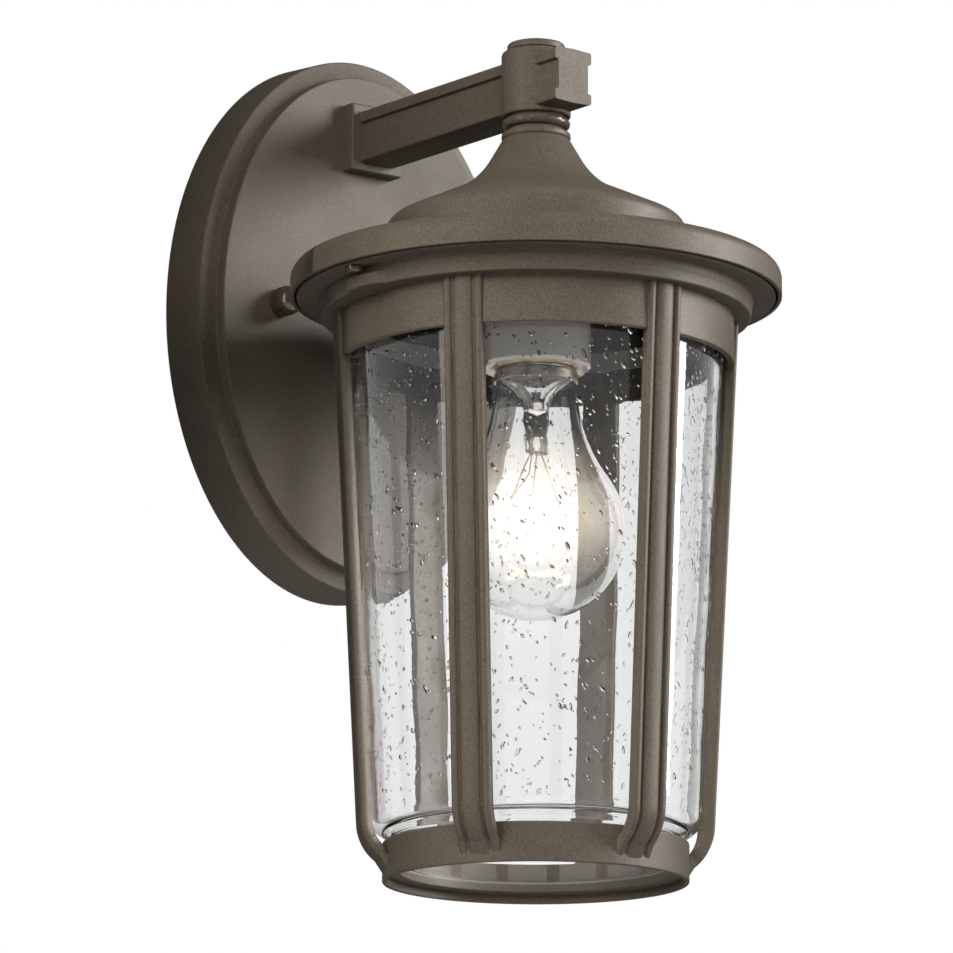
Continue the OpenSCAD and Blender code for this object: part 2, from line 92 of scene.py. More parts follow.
def radius_of(node):
    """Half the width of a round CAD node."""
    return (high(node).x - low(node).x) / 2


AXIS = Vector((0, (low("roof").y + high("roof").y) / 2, 0)) * MM


# ---------------------------------------------------------------- outlines


def arc(centre, radius, start, end, steps=8):
    """Points along an arc, its angles in degrees."""
    turns = [math.radians(start + (end - start) * i / steps) for i in range(steps + 1)]
    return [(centre[0] + radius * math.cos(t), centre[1] + radius * math.sin(t)) for t in turns]


def between(start, end, steps):
    """Points on a straight stretch, without its ends."""
    a, b = Vector(start), Vector(end)
    return [tuple(a.lerp(b, i / steps)) for i in range(1, steps)]


def eased(outline, ease=0.3, steps=4):
    """The closed outline with its corners rounded. A third number on a point is its own radius, and 0 keeps it sharp."""
    made = []
    for i, point in enumerate(outline):
        here = Vector(point[:2])
        before = Vector(outline[i - 1][:2]) - here
        after = Vector(outline[(i + 1) % len(outline)][:2]) - here
        radius = point[2] if len(point) > 2 else ease
        turn = math.pi - before.angle(after)
        if radius == 0 or turn < math.radians(20) or abs(here.x) < 1e-6:
            made.append(tuple(here))
            continue
        reach = min(radius * math.tan(turn / 2), 0.45 * before.length, 0.45 * after.length)
        first = here + before.normalized() * reach
        last = here + after.normalized() * reach
        for s in range(steps + 1):
            t = s / steps
            made.append(tuple((1 - t) ** 2 * first + 2 * t * (1 - t) * here + t * t * last))
    return made


# ---------------------------------------------------------------- shapes


def turn(bm, outline, centre=AXIS, axis=UP, steps=ROUND):
    """Spins an outline of radius and distance along the axis into a closed round solid."""
    side = Vector((1, 0, 0))
    verts = [bm.verts.new(centre + (side * r + axis * h) * MM) for r, h in outline]
    edges = [bm.edges.new(pair) for pair in zip(verts, verts[1:])]
    if outline[0][0] > 0:
        edges.append(bm.edges.new((verts[-1], verts[0])))
    bmesh.ops.spin(
        bm, geom=verts + edges, cent=centre, axis=axis, angle=math.tau, steps=steps, use_merge=True
    )
    bmesh.ops.remove_doubles(bm, verts=bm.verts, dist=MERGE_WITHIN)


def polar(point):
    """Radius in millimetres and angle of a point about the lantern's axis, from the right towards the back."""
    away = point - AXIS
    return math.hypot(away.x, away.y) / MM, math.atan2(away.y, away.x)


def reshape(bm, radius_for):
    """Moves each vertex to the radius that radius_for(radius, angle, height) gives, in millimetres."""
    for vert in bm.verts:
        radius, angle = polar(vert.co)
        wanted = radius_for(radius, angle, vert.co.z / MM) * MM
        vert.co.x = AXIS.x + wanted * math.cos(angle)
        vert.co.y = AXIS.y + wanted * math.sin(angle)


def extend(bm, face, move):
    """Extrudes a face and passes its new vertices to move. Returns the new face."""
    grown = bmesh.ops.extrude_face_region(bm, geom=[face])["geom"]
    move([v for v in grown if isinstance(v, bmesh.types.BMVert)])
    return next(f for f in grown if isinstance(f, bmesh.types.BMFace))


def bar(bm, section, start, end):
    """A straight bar along the wall's normal, between two distances from the wall. Returns its end faces."""
    verts = [bm.verts.new(Vector((x, -start, z)) * MM) for x, z in section]
    near_wall = bm.faces.new(verts)
    shift = OUT_OF_WALL * (end - start) * MM
    far = extend(bm, near_wall, lambda new: bmesh.ops.translate(bm, verts=new, vec=shift))
    return near_wall, far


def ease_edges(bm, edges, width, segments=3):
    bmesh.ops.bevel(
        bm, geom=list(edges), offset=width * MM, segments=segments, profile=0.5, affect="EDGES", material=-1
    )


def tube_along(points, radius, sides=3):
    """A mesh of round wire along points in millimetres, relative to the lantern's axis."""
    curve = bpy.data.curves.new("wire", "CURVE")
    curve.dimensions = "3D"
    curve.bevel_depth = radius * MM
    curve.bevel_resolution = sides
    curve.use_fill_caps = True
    line = curve.splines.new("POLY")
    line.points.add(len(points) - 1)
    for spot, point in zip(line.points, points):
        spot.co = (*(AXIS + Vector(point) * MM), 1)
    holder = bpy.data.objects.new("wire", curve)
    bm = bmesh.new()
    bm.from_mesh(holder.to_mesh())
    bpy.data.objects.remove(holder)
    bpy.data.curves.remove(curve)
    return bm


def piece(name, bm, body, slot, replaces=(), settled=False):
    """Turns a bmesh into a finished piece on a body, in the finish of a record slot."""
    if not settled:
        bmesh.ops.remove_doubles(bm, verts=bm.verts, dist=MERGE_WITHIN)
        bmesh.ops.recalc_face_normals(bm, faces=bm.faces)
    for face in bm.faces:
        face.smooth = True
    for edge in bm.edges:
        if len(edge.link_faces) == 2 and edge.calc_face_angle(0) > CREASE:
            edge.smooth = False
    mesh = bpy.data.meshes.new(name)
    bm.to_mesh(mesh)
    bm.free()
    made = bpy.data.objects.new(name, mesh)
    bpy.context.scene.collection.objects.link(made)
    mesh.materials.append(FINISHES[slot])
    even = made.modifiers.new("even_shading", "WEIGHTED_NORMAL")
    even.keep_sharp = True
    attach(made, body)
    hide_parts(*replaces)
    return made


# ---------------------------------------------------------------- finishes


class Finish:
    """A material with one Principled shader, and short ways to add nodes to it."""

    def __init__(self, name, **values):
        self.material = bpy.data.materials.new(name)
        self.material.use_nodes = True
        self.tree = self.material.node_tree
        self.shader = self.tree.nodes["Principled BSDF"]
        self.output = self.tree.nodes["Material Output"]
        for socket, value in values.items():
            self.shader.inputs[socket.replace("_", " ")].default_value = value

    def add(self, kind, **values):
        return add_node(self.tree, kind, **values)

    def link(self, source, target):
        self.tree.links.new(source, target)

    def places(self):
        return self.add("TexCoord").outputs["Object"]

    def bump(self, height, distance, strength=1.0, under=None):
        node = self.add("Bump", Distance=distance, Strength=strength)
        self.link(height, node.inputs["Height"])
        if under is not None:
            self.link(under, node.inputs["Normal"])
        return node.outputs["Normal"]


def add_node(tree, kind, **values):
    """A shader node with the plain values of some of its sockets or settings."""
    node = tree.nodes.new("ShaderNode" + kind)
    for name, value in values.items():
        if hasattr(node, name):
            setattr(node, name, value)
        else:
            node.inputs[name.replace("_", " ")].default_value = value
    return node


def new_group(name, inputs, outputs):
    """An empty node group. Inputs are names with their starting values, outputs are names with their socket kinds."""
    group = bpy.data.node_groups.new(name, "ShaderNodeTree")
    for socket, value in inputs.items():
        kind = "NodeSocketColor" if isinstance(value, tuple) else "NodeSocketFloat"
        group.interface.new_socket(socket, in_out="INPUT", socket_type=kind).default_value = value
    for socket, kind in outputs.items():
        group.interface.new_socket(socket, in_out="OUTPUT", socket_type=kind)
    return group, group.nodes.new("NodeGroupInput").outputs, group.nodes.new("NodeGroupOutput").inputs


def mixed_colours(tree, factor, first, second):
    """A colour between two others."""
    mix = add_node(tree, "Mix", data_type="RGBA")
    tree.links.new(factor, mix.inputs[0])
    tree.links.new(first, mix.inputs[6])
    tree.links.new(second, mix.inputs[7])
    return mix.outputs[2]


def spread(tree, value, from_low, from_high, to_low=0.0, to_high=1.0):
    """A value stretched from one span to another."""
    stretch = add_node(tree, "MapRange")
    for socket, number in zip(stretch.inputs[1:5], (from_low, from_high, to_low, to_high)):
        socket.default_value = number
    tree.links.new(value, stretch.inputs[0])
    return stretch.outputs[0]


def speckle_group():
    """Fine grain over slow patches, as sprayed powder and castings have."""
    group, given, out = new_group(
        "speckle",
        {"Colour": (0.5, 0.5, 0.5, 1), "Speck Colour": (0.3, 0.3, 0.3, 1), "Grain Scale": 2400.0, "Patch Scale": 45.0},
        {"Colour": "NodeSocketColor", "Height": "NodeSocketFloat", "Patches": "NodeSocketFloat"},
    )
    places = add_node(group, "TexCoord").outputs["Object"]
    grain = add_node(group, "TexNoise", Detail=3.0, Roughness=0.7)
    patches = add_node(group, "TexNoise", Detail=4.0, Roughness=0.55)
    for noise, scale in ((grain, given["Grain Scale"]), (patches, given["Patch Scale"])):
        group.links.new(places, noise.inputs["Vector"])
        group.links.new(scale, noise.inputs["Scale"])
    speckled = mixed_colours(
        group, spread(group, grain.outputs[0], 0.3, 0.72), given["Speck Colour"], given["Colour"]
    )
    tone = add_node(group, "HueSaturation")
    group.links.new(spread(group, patches.outputs[0], 0.3, 0.7, 0.92, 1.08), tone.inputs["Value"])
    group.links.new(speckled, tone.inputs["Color"])
    group.links.new(tone.outputs[0], out["Colour"])
    group.links.new(grain.outputs[0], out["Height"])
    group.links.new(patches.outputs[0], out["Patches"])
    return group


def brushed_group():
    """Streaks along one direction, as drawn, rolled or turned metal has."""
    group, given, out = new_group(
        "brushed",
        {"Colour": (0.6, 0.6, 0.6, 1), "Streak Colour": (0.5, 0.5, 0.5, 1), "Scale": 260.0, "Along": 0.08},
        {"Colour": "NodeSocketColor", "Height": "NodeSocketFloat", "Streaks": "NodeSocketFloat"},
    )
    lengthen = add_node(group, "CombineXYZ", X=1.0, Z=1.0)
    group.links.new(given["Along"], lengthen.inputs["Y"])
    pulled = add_node(group, "VectorMath", operation="MULTIPLY")
    group.links.new(add_node(group, "TexCoord").outputs["Object"], pulled.inputs[0])
    group.links.new(lengthen.outputs[0], pulled.inputs[1])
    streaks = add_node(group, "TexNoise", Detail=5.0, Roughness=0.6)
    group.links.new(pulled.outputs[0], streaks.inputs["Vector"])
    group.links.new(given["Scale"], streaks.inputs["Scale"])
    coloured = mixed_colours(
        group, spread(group, streaks.outputs[0], 0.3, 0.7), given["Streak Colour"], given["Colour"]
    )
    group.links.new(coloured, out["Colour"])
    group.links.new(streaks.outputs[0], out["Height"])
    group.links.new(streaks.outputs[0], out["Streaks"])
    return group


SPECKLE = speckle_group()
BRUSHED = brushed_group()


def coated(name, colour, speck, roughness, metallic, grain=2400.0, depth=0.00006, strength=0.35, patches=45.0, **more):
    """A sprayed, cast or moulded finish: fine grain with slow changes of tone and gloss."""
    finish = Finish(name, Metallic=metallic, **more)
    speckle = finish.add("Group", node_tree=SPECKLE)
    speckle.inputs["Colour"].default_value = (*colour, 1)
    speckle.inputs["Speck Colour"].default_value = (*speck, 1)
    speckle.inputs["Grain Scale"].default_value = grain
    speckle.inputs["Patch Scale"].default_value = patches
    finish.link(speckle.outputs["Colour"], finish.shader.inputs["Base Color"])
    gloss = spread(finish.tree, speckle.outputs["Patches"], 0.3, 0.7, roughness - 0.04, roughness + 0.05)
    finish.link(gloss, finish.shader.inputs["Roughness"])
    finish.link(finish.bump(speckle.outputs["Height"], depth, strength), finish.shader.inputs["Normal"])
    return finish.material


def worked_metal(name, colour, streak, roughness, scale=260.0, along=0.08, **more):
    """Bare or plated metal with drawn or turned streaks."""
    finish = Finish(name, Metallic=1.0, **more)
    brushed = finish.add("Group", node_tree=BRUSHED)
    brushed.inputs["Colour"].default_value = (*colour, 1)
    brushed.inputs["Streak Colour"].default_value = (*streak, 1)
    brushed.inputs["Scale"].default_value = scale
    brushed.inputs["Along"].default_value = along
    finish.link(brushed.outputs["Colour"], finish.shader.inputs["Base Color"])
    gloss = spread(finish.tree, brushed.outputs["Streaks"], 0.3, 0.7, roughness - 0.06, roughness + 0.08)
    finish.link(gloss, finish.shader.inputs["Roughness"])
    finish.link(finish.bump(brushed.outputs["Height"], 0.00004, 0.3), finish.shader.inputs["Normal"])
    return finish.material


def let_lamps_through(finish):
    """Lamps shine through this glass without a shadow, so that what is inside is lit."""
    path = finish.add("LightPath")
    clear = finish.add("BsdfTransparent")
    either = finish.add("MixShader")
    finish.link(path.outputs["Is Shadow Ray"], either.inputs[0])
    finish.link(finish.shader.outputs[0], either.inputs[1])
    finish.link(clear.outputs[0], either.inputs[2])
    finish.link(either.outputs[0], finish.output.inputs["Surface"])


def seeded_glass():
    """Clear hand-worked glass: slow waves and stretched cords in its surface."""
    finish = Finish(
        "seeded_glass", Base_Color=(0.925, 0.93, 0.93, 1), Roughness=0.0, IOR=1.5, Transmission_Weight=1.0
    )
    places = finish.places()
    waves = finish.add("TexNoise", Scale=38.0, Detail=1.5)
    finish.link(places, waves.inputs["Vector"])
    pull = finish.add("Mapping")
    pull.inputs["Rotation"].default_value = (0.3, 0.2, 0.5)
    pull.inputs["Scale"].default_value = (1.0, 1.0, 3.2)
    finish.link(places, pull.inputs["Vector"])
    cords = finish.add("TexNoise", Scale=55.0, Detail=2.0, Distortion=1.6)
    finish.link(pull.outputs[0], cords.inputs["Vector"])
    wavy = finish.bump(waves.outputs[0], 0.0003, 0.12)
    finish.link(finish.bump(cords.outputs[0], 0.0001, 0.14, under=wavy), finish.shader.inputs["Normal"])
    let_lamps_through(finish)
    return finish.material


def bulb_glass(filament):
    """Thin clear bulb glass with a painted glow: warm emission on the glass that stands in for the lit filament's hazy
    light, strongest level with the filament and where the glass faces the view.
    """
    finish = Finish(
        "clear_bulb_glass", Base_Color=(0.99, 0.99, 0.99, 1), Roughness=0.0, IOR=1.48, Transmission_Weight=1.0
    )
    apart = finish.add("VectorMath", operation="SUBTRACT")
    finish.link(finish.places(), apart.inputs[0])
    apart.inputs[1].default_value = filament
    parts = finish.add("SeparateXYZ")
    finish.link(apart.outputs[0], parts.inputs[0])
    height = finish.add("Math", operation="ABSOLUTE")
    finish.link(parts.outputs["Z"], height.inputs[0])
    # painted glow: the emission fades with height away from the filament, and with Layer Weight facing it is strongest
    # where the glass faces the view
    level = spread(finish.tree, height.outputs[0], 0.024, 0.002)
    facing = finish.add("LayerWeight", Blend=0.5)
    frontal = finish.add("Math", operation="SUBTRACT")
    frontal.inputs[0].default_value = 1.0
    finish.link(facing.outputs["Facing"], frontal.inputs[1])
    focused = finish.add("Math", operation="POWER")
    finish.link(frontal.outputs[0], focused.inputs[0])
    focused.inputs[1].default_value = 4.0
    soft = finish.add("Math", operation="MULTIPLY")
    finish.link(level, soft.inputs[0])
    finish.link(focused.outputs[0], soft.inputs[1])
    # painted glow colour: warm emission on the bulb glass, which is no lamp
    painted_glow = finish.add("Mix", data_type="RGBA")
    painted_glow.inputs[6].default_value = (0, 0, 0, 1)
    painted_glow.inputs[7].default_value = (1.0, 0.84, 0.64, 1)
    finish.link(soft.outputs[0], painted_glow.inputs[0])
    finish.link(painted_glow.outputs[2], finish.shader.inputs["Emission Color"])
    finish.shader.inputs["Emission Strength"].default_value = 0.3
    ripples = finish.add("TexNoise", Scale=60.0, Detail=1.0)
    finish.link(finish.places(), ripples.inputs["Vector"])
    finish.link(finish.bump(ripples.outputs[0], 0.0002, 0.15), finish.shader.inputs["Normal"])
    let_lamps_through(finish)
    finish.material.cycles.emission_sampling = "NONE"
    return finish.material


def lit_filament():
    """Tungsten at white heat, its turns a little uneven."""
    finish = Finish("glowing_filament", Roughness=0.5)
    flicker = finish.add("TexNoise", Scale=900.0)
    finish.link(finish.places(), flicker.inputs["Vector"])
    warm = finish.add("Mix", data_type="RGBA")
    warm.inputs[6].default_value = (1.0, 0.56, 0.22, 1)
    warm.inputs[7].default_value = (1.0, 0.76, 0.46, 1)
    finish.link(flicker.outputs[0], warm.inputs[0])
    finish.link(warm.outputs[2], finish.shader.inputs["Emission Color"])
    finish.link(warm.outputs[2], finish.shader.inputs["Base Color"])
    finish.shader.inputs["Emission Strength"].default_value = 60.0
    finish.material.cycles.emission_sampling = "NONE"
    return finish.material


def make_finishes():
    filament = (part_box("bulb_filament")[0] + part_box("bulb_filament")[1]) / 2
    return {
        "bronze_powder_coat": coated(
            "bronze_powder_coat", (0.150, 0.123, 0.091), (0.072, 0.058, 0.042), 0.52, 0.15,
            grain=1500.0, depth=0.00009, strength=0.5,
        ),
        "bronze_gloss_ring": coated(
            "bronze_gloss_ring", (0.165, 0.136, 0.102), (0.08, 0.065, 0.049), 0.32, 0.35,
            grain=700.0, depth=0.0003, strength=0.5, Coat_Weight=0.25, Coat_Roughness=0.18,
        ),
        "dark_bronze_nut": coated(
            "dark_bronze_nut", (0.26, 0.215, 0.165), (0.13, 0.105, 0.08), 0.26, 0.75, strength=0.15
        ),
        "dark_bronze_screw": coated(
            "dark_bronze_screw", (0.2, 0.165, 0.13), (0.09, 0.075, 0.06), 0.24, 0.75, strength=0.15
        ),
        "zinc_plated_steel": worked_metal("zinc_plated_steel", (0.62, 0.63, 0.64), (0.5, 0.52, 0.53), 0.32),
        "green_screw_finish": coated(
            "green_screw_finish", (0.05, 0.26, 0.10), (0.03, 0.17, 0.06), 0.35, 0.4
        ),
        "aluminium_cap": worked_metal("aluminium_cap", (0.74, 0.75, 0.76), (0.62, 0.63, 0.65), 0.35),
        "glazed_porcelain": coated(
            "glazed_porcelain", (0.62, 0.59, 0.53), (0.56, 0.53, 0.47), 0.18, 0.0,
            grain=700.0, depth=0.00004, strength=0.2, Coat_Weight=0.6, Coat_Roughness=0.08,
        ),
        "nickelled_brass": worked_metal("nickelled_brass", (0.72, 0.52, 0.30), (0.58, 0.40, 0.22), 0.28, along=1.0),
        "brass_contact": worked_metal("brass_contact", (0.74, 0.54, 0.27), (0.6, 0.42, 0.2), 0.3),
        "wire_insulation": coated("wire_insulation", (0.02, 0.02, 0.02), (0.012, 0.012, 0.012), 0.5, 0.0),
        "wire_nut_plastic": coated("wire_nut_plastic", (0.70, 0.25, 0.05), (0.62, 0.20, 0.04), 0.42, 0.0),
        "clear_bulb_glass": bulb_glass(filament),
        "nickel_wire": worked_metal("nickel_wire", (0.50, 0.46, 0.42), (0.38, 0.34, 0.3), 0.3),
        "glowing_filament": lit_filament(),
        "bulb_base_metal": worked_metal("bulb_base_metal", (0.74, 0.68, 0.58), (0.6, 0.52, 0.42), 0.3, along=1.0),
        "black_insulator": coated("black_insulator", (0.015, 0.015, 0.016), (0.03, 0.03, 0.03), 0.2, 0.0),
        "seeded_glass": seeded_glass(),
        "clear_silicone": coated(
            "clear_silicone", (0.30, 0.29, 0.27), (0.24, 0.23, 0.21), 0.45, 0.0, Transmission_Weight=0.3
        ),
    }


FINISHES = make_finishes()

# ---------------------------------------------------------------- backplate, arm and hub


def make_backplate():
    """Oval pan with a drafted rim, a sloping shoulder and a raised face, folded from one outline."""
    half_w, half_h = radius_of("backplate"), (high("backplate").z - low("backplate").z) / 2
    face = -low("backplate").y
    wall = 2.0
    # inset from the outer oval, then distance from the wall
    outline = [
        (10.0, face - wall, 0.5), (9.8, 16.4, 0.4), (3.4, 15.9, 0.6), (wall, 0.0, 0.3), (0.0, 0.0, 0.4),
        (1.2, 17.7, 0.7), (7.7, 18.5, 0.5), (7.9, face, 0.6),
    ]
    rings = eased([*outline, (30.0, face, 0)], steps=5)
    rings = [ring for ring in rings if ring[0] < 29]
    bm = bmesh.new()
    stand = Matrix.Rotation(math.pi / 2, 4, "X")
    ring = bmesh.ops.create_circle(bm, cap_ends=True, segments=FINE_ROUND, radius=1, matrix=stand)["verts"]
    (last,) = bm.faces
    inset, depth = rings[0]
    bmesh.ops.scale(bm, verts=ring, vec=Vector((half_w - inset, 1, half_h - inset)) * MM)
    bmesh.ops.translate(bm, verts=ring, vec=OUT_OF_WALL * depth * MM)
    for new_inset, new_depth in rings[1:]:
        grow = Vector(((half_w - new_inset) / (half_w - inset), 1, (half_h - new_inset) / (half_h - inset)))
        shift = OUT_OF_WALL * (new_depth - depth) * MM

        def move(new):
            bmesh.ops.scale(bm, verts=new, vec=grow)
            bmesh.ops.translate(bm, verts=new, vec=shift)

        last = extend(bm, last, move)
        inset, depth = new_inset, new_depth
    piece("backplate_pan", bm, "fixture", "bronze_powder_coat", ["backplate"])


def make_collar():
    """Block between plate and arm, its front edges eased."""
    lower, upper = low("arm_collar"), high("arm_collar")
    half = (upper.x - lower.x) / 2
    section = [(-half, lower.z), (half, lower.z), (half, upper.z), (-half, upper.z)]
    bm = bmesh.new()
    _, front = bar(bm, section, -upper.y, -lower.y)
    sides = [e for e in bm.edges if abs(e.verts[0].co.y - e.verts[1].co.y) > 1 * MM]
    ease_edges(bm, {*front.edges, *sides}, 0.8)
    piece("collar_block", bm, "fixture", "bronze_powder_coat", ["arm_collar"])


def arm_section(half_w, middle, half_h):
    """Two flanges and a web set back on both sides; top and bottom rise slightly to the middle."""
    recess, upper_flange, lower_flange, draft = 1.4, 4.2, 3.8, 0.35
    right = [
        (half_w, half_h - draft, 0.9), (half_w, half_h - upper_flange, 0.35),
        (half_w - recess, half_h - upper_flange - 0.3, 0.3), (half_w - recess, 0.3 + lower_flange - half_h, 0.3),
        (half_w, lower_flange - half_h, 0.35), (half_w, draft - half_h, 0.9),
    ]
    left = [(-x, z, r) for x, z, r in reversed(right)]
    outline = eased([(0.0, half_h), *right, (0.0, -half_h), *left], steps=3)
    return [(x, middle + z) for x, z in outline]


def make_arm():
    """Recessed bar from the collar into the hub, the hub, and the bar's stub in front of it."""
    arm_end = -low("arm").y
    root = -high("arm").y
    reach = -AXIS.y / MM
    hub_r = 11.7
    hub_low, hub_high = low("arm").z, high("arm").z
    middle = (low("arm_collar").z + high("arm_collar").z) / 2
    half_w, half_h = 7.75, 9.35
    in_hub_wall = 8.5
    section = arm_section(half_w, middle, half_h)
    bm = bmesh.new()
    bar(bm, section, root, reach - in_hub_wall)
    bar(bm, section, reach + in_hub_wall, arm_end)
    bore_r, hollow_r, floor = 4.86, 8.2, 57.0
    turn(
        bm,
        eased([
            (bore_r, hub_low), (hub_r, hub_low, 0.8), (hub_r, hub_high, 1.8), (hollow_r, hub_high, 0.3),
            (hollow_r, floor), (bore_r, floor),
        ], steps=6),
    )
    piece("arm_casting", bm, "fixture", "bronze_powder_coat", ["arm"])

    cap_r, cap_top = 9.8, high("hub_cap").z
    groove = 0.5
    bm = bmesh.new()
    turn(
        bm,
        eased([
            (0, low("hub_cap").z), (hollow_r - 0.05, low("hub_cap").z), (hollow_r - 0.05, hub_high, 0),
            (cap_r - 0.9, hub_high, 0), (cap_r - 0.9, hub_high + groove, 0.1), (cap_r, hub_high + groove, 0.2),
            (cap_r, cap_top, 1.5), (0, cap_top + 0.0),
        ], steps=6),
    )
    piece("hub_cap_disc", bm, "fixture", "bronze_powder_coat", ["hub_cap"])


def make_neck_rings():
    """Glossy bead washer over a plain one that widens on to the roof."""
    top, bottom = high("neck_ring_upper").z, low("neck_ring_upper").z
    bore_r = 4.86
    bead_r = 1.75
    bm = bmesh.new()
    turn(
        bm,
        eased([(bore_r, top), (bore_r, bottom), (9.6, bottom, 0.2)])
        + arc((9.7, bottom + 2.0), bead_r, -70, 80, 10)
        + [(9.9, top - 0.4), (9.9, top)],
        steps=FINE_ROUND,
    )
    reshape(bm, lambda r, a, z: r + (0.05 * math.sin(9 * a + z) + 0.04 * math.sin(17 * a - 2 * z)) * (r > 10))
    piece("bead_ring", bm, "fixture", "bronze_gloss_ring", ["neck_ring_upper"])

    top, bottom = high("neck_ring_lower").z, low("neck_ring_lower").z
    bm = bmesh.new()
    turn(
        bm,
        eased([
            (bore_r, bottom), (bore_r, top), (9.5, top, 0.3), (9.9, top - 0.9, 0.4), (11.6, top - 1.4, 0.5),
            (11.7, bottom + 0.6, 0.4), (11.2, bottom, 0.2),
        ]),
    )
    piece("spread_ring", bm, "fixture", "bronze_powder_coat", ["neck_ring_lower"])


def make_cap_nut(side):
    """Cap nut with a finely knurled skirt and a smooth dome."""
    node = "cap_nut_" + side
    base, top = high(node).y, low(node).y
    centre = Vector(((low(node).x + high(node).x) / 2, base, (low(node).z + high(node).z) / 2)) * MM
    outer_r = radius_of(node)
    skirt, tall, ridges = 5.6, base - top, 44
    dome_r = outer_r - 0.35
    dome_h = tall - skirt - 0.5
    dome = [(dome_r * math.cos(t), skirt + 0.5 + dome_h * math.sin(t)) for t in
            (math.radians(9 * i) for i in range(11))]
    outline = [
        (0, 0), *eased([(outer_r - 0.6, 0), (outer_r - 0.2, 0.4), (outer_r, 0.8)]), *between((outer_r, 0.8), (outer_r, skirt - 0.5), 4),
        (outer_r, skirt - 0.5), (dome_r, skirt), *dome[:-1], (0, tall),
    ]
    bm = bmesh.new()
    turn(bm, outline, centre, OUT_OF_WALL, steps=ridges * 2)
    for vert in bm.verts:
        away = vert.co - centre
        along = -away.y / MM
        away.y = 0
        if 0.6 < along < skirt - 0.3 and away.length > (outer_r - 0.1) * MM:
            angle = math.atan2(away.z, away.x)
            if round(angle / math.tau * ridges * 2) % 2:
                vert.co -= away.normalized() * 0.28 * MM
    piece(node + "_knurled", bm, node, "dark_bronze_nut", [node])


# ---------------------------------------------------------------- roof


def make_roof():
    """Spun bell: a flared neck, a rounded tier and a wide brim with a thin lip."""
    brim_r, neck_top = radius_of("roof"), high("roof").z
    wall, lip = 2.0, 1.3
    bore_r = 4.86
    slope = 25
    flare_r = 29.3
    flare = (15.5 + flare_r * math.cos(math.radians(30)), 39.2 + flare_r * math.sin(math.radians(30)))
    tier_r, tier_round, tier_foot = 50.5, 4.6, 6.5
    tier = (tier_r - tier_round, 14.15)
    brim_round, brim_low = 4.7, low("roof").z
    brim = (brim_r - brim_round, -2.5)
    outline = [
        (bore_r, neck_top), (11.34, neck_top, 0.3),
        *arc(flare, flare_r, 210, 270 - slope, 20),
        *arc(tier, tier_round, 90 - slope, 0, 12),
        (tier_r, tier_foot, 0.7),
        *arc(brim, brim_round, 90, 0, 12),
        (brim_r, brim_low, 0.35), (brim_r - lip, brim_low, 0.3),
        *arc(brim, brim_round - lip, 0, 90, 8),
        (tier_r - wall, tier_foot - wall, 0.5),
        *arc(tier, tier_round - wall, 0, 90 - slope, 8),
        *arc(flare, flare_r + wall, 270 - slope, 210, 16),
        (11.28, low("roof_locknut").z + 3.2), (bore_r, low("roof_locknut").z + 3.2),
    ]
    bm = bmesh.new()
    turn(bm, eased(outline, ease=0.2), steps=FINE_ROUND)
    post_r, post_bore_r, post_low = 3.4, 1.75, high("cage_top_ring").z
    for side in ("left", "right"):
        screw = (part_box("cage_screw_" + side)[0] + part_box("cage_screw_" + side)[1]) / 2
        centre = Vector((screw.x, screw.y, 0))
        post = [(post_bore_r, post_low), (post_r, post_low), (post_r, 1.2), (post_bore_r, 1.2)]
        turn(bm, post, centre, UP, steps=32)
    piece("roof_bell", bm, "fixture", "bronze_powder_coat", ["roof"])


# ---------------------------------------------------------------- cage

SHOULDER = (48.9, -184.3)
RIB_BEND = (42.62, -186.3)


def make_top_ring():
    """Flange, step and band in one casting, with a soft lug below each screw."""
    lower, upper = low("cage_top_ring").z, high("cage_top_ring").z
    flange_r, flange_low = 80.3, -9.0
    band_r, band_wall, step_low = 66.4, 2.2, -15.6
    pocket_r, pocket_low = 70.0, -13.2
    outline = [
        (band_r - band_wall, lower, 0.5), (band_r, lower, 0.6), *between((band_r, lower), (band_r, step_low), 4),
        (band_r, step_low, 0.4), (72.0, step_low, 0.7), (72.35, -12.6), (72.6, -11.8, 0.6), (72.75, -11.2, 0.4),
        (73.1, flange_low, 0.7), (flange_r, flange_low, 0.4), (flange_r, upper, 0.3), (pocket_r, upper, 0.3),
        (pocket_r, pocket_low, 0.4), (band_r - band_wall, pocket_low, 0.3),
    ]
    bm = bmesh.new()
    turn(bm, eased(outline), steps=FINE_ROUND * 2)
    lug_top, lug_proud, lug_half, blend = -11.5, 2.6, 7.2, 3.6

    def bulge(radius, angle, height):
        sideways = abs(math.sin(angle)) * radius
        if radius < 70.5 or height > lug_top or sideways > lug_half + blend:
            return radius
        share = min(1.0, (lug_half + blend - sideways) / blend)
        soft = share * share * (3 - 2 * share)
        return radius + lug_proud * soft * (1 - 0.25 * (sideways / lug_half) ** 2)

    reshape(bm, bulge)
    piece("cage_top_casting", bm, "cage", "bronze_powder_coat", ["cage_top_ring"])


def bead(centre, half, crown, groove, power, steps=10):
    """Section of one bead, as sideways place and depth below the rib's outer line."""
    made = []
    for i in range(steps + 1):
        across = -math.cos(math.pi * i / steps)
        rise = (1 - abs(across) ** power) ** (1 / power)
        made.append((centre + half * across, groove - (groove - crown) * rise))
    return made


def rib_section(width, depth):
    """Three beads side by side on a flat-backed strip."""
    half = width / 2
    side_half, centre_half, groove, side_crown = 1.3, 3.3, 1.55, 0.55
    return [
        (-half + 0.4, depth), (-half, depth - 0.4), (-half, groove + 0.3),
        *bead(-half + side_half, side_half, side_crown, groove, 2.2),
        *bead(0.0, centre_half, 0.0, groove, 2.4, 16),
        *bead(half - side_half, side_half, side_crown, groove, 2.2),
        (half, groove + 0.3), (half, depth - 0.4), (half - 0.4, depth),
    ]


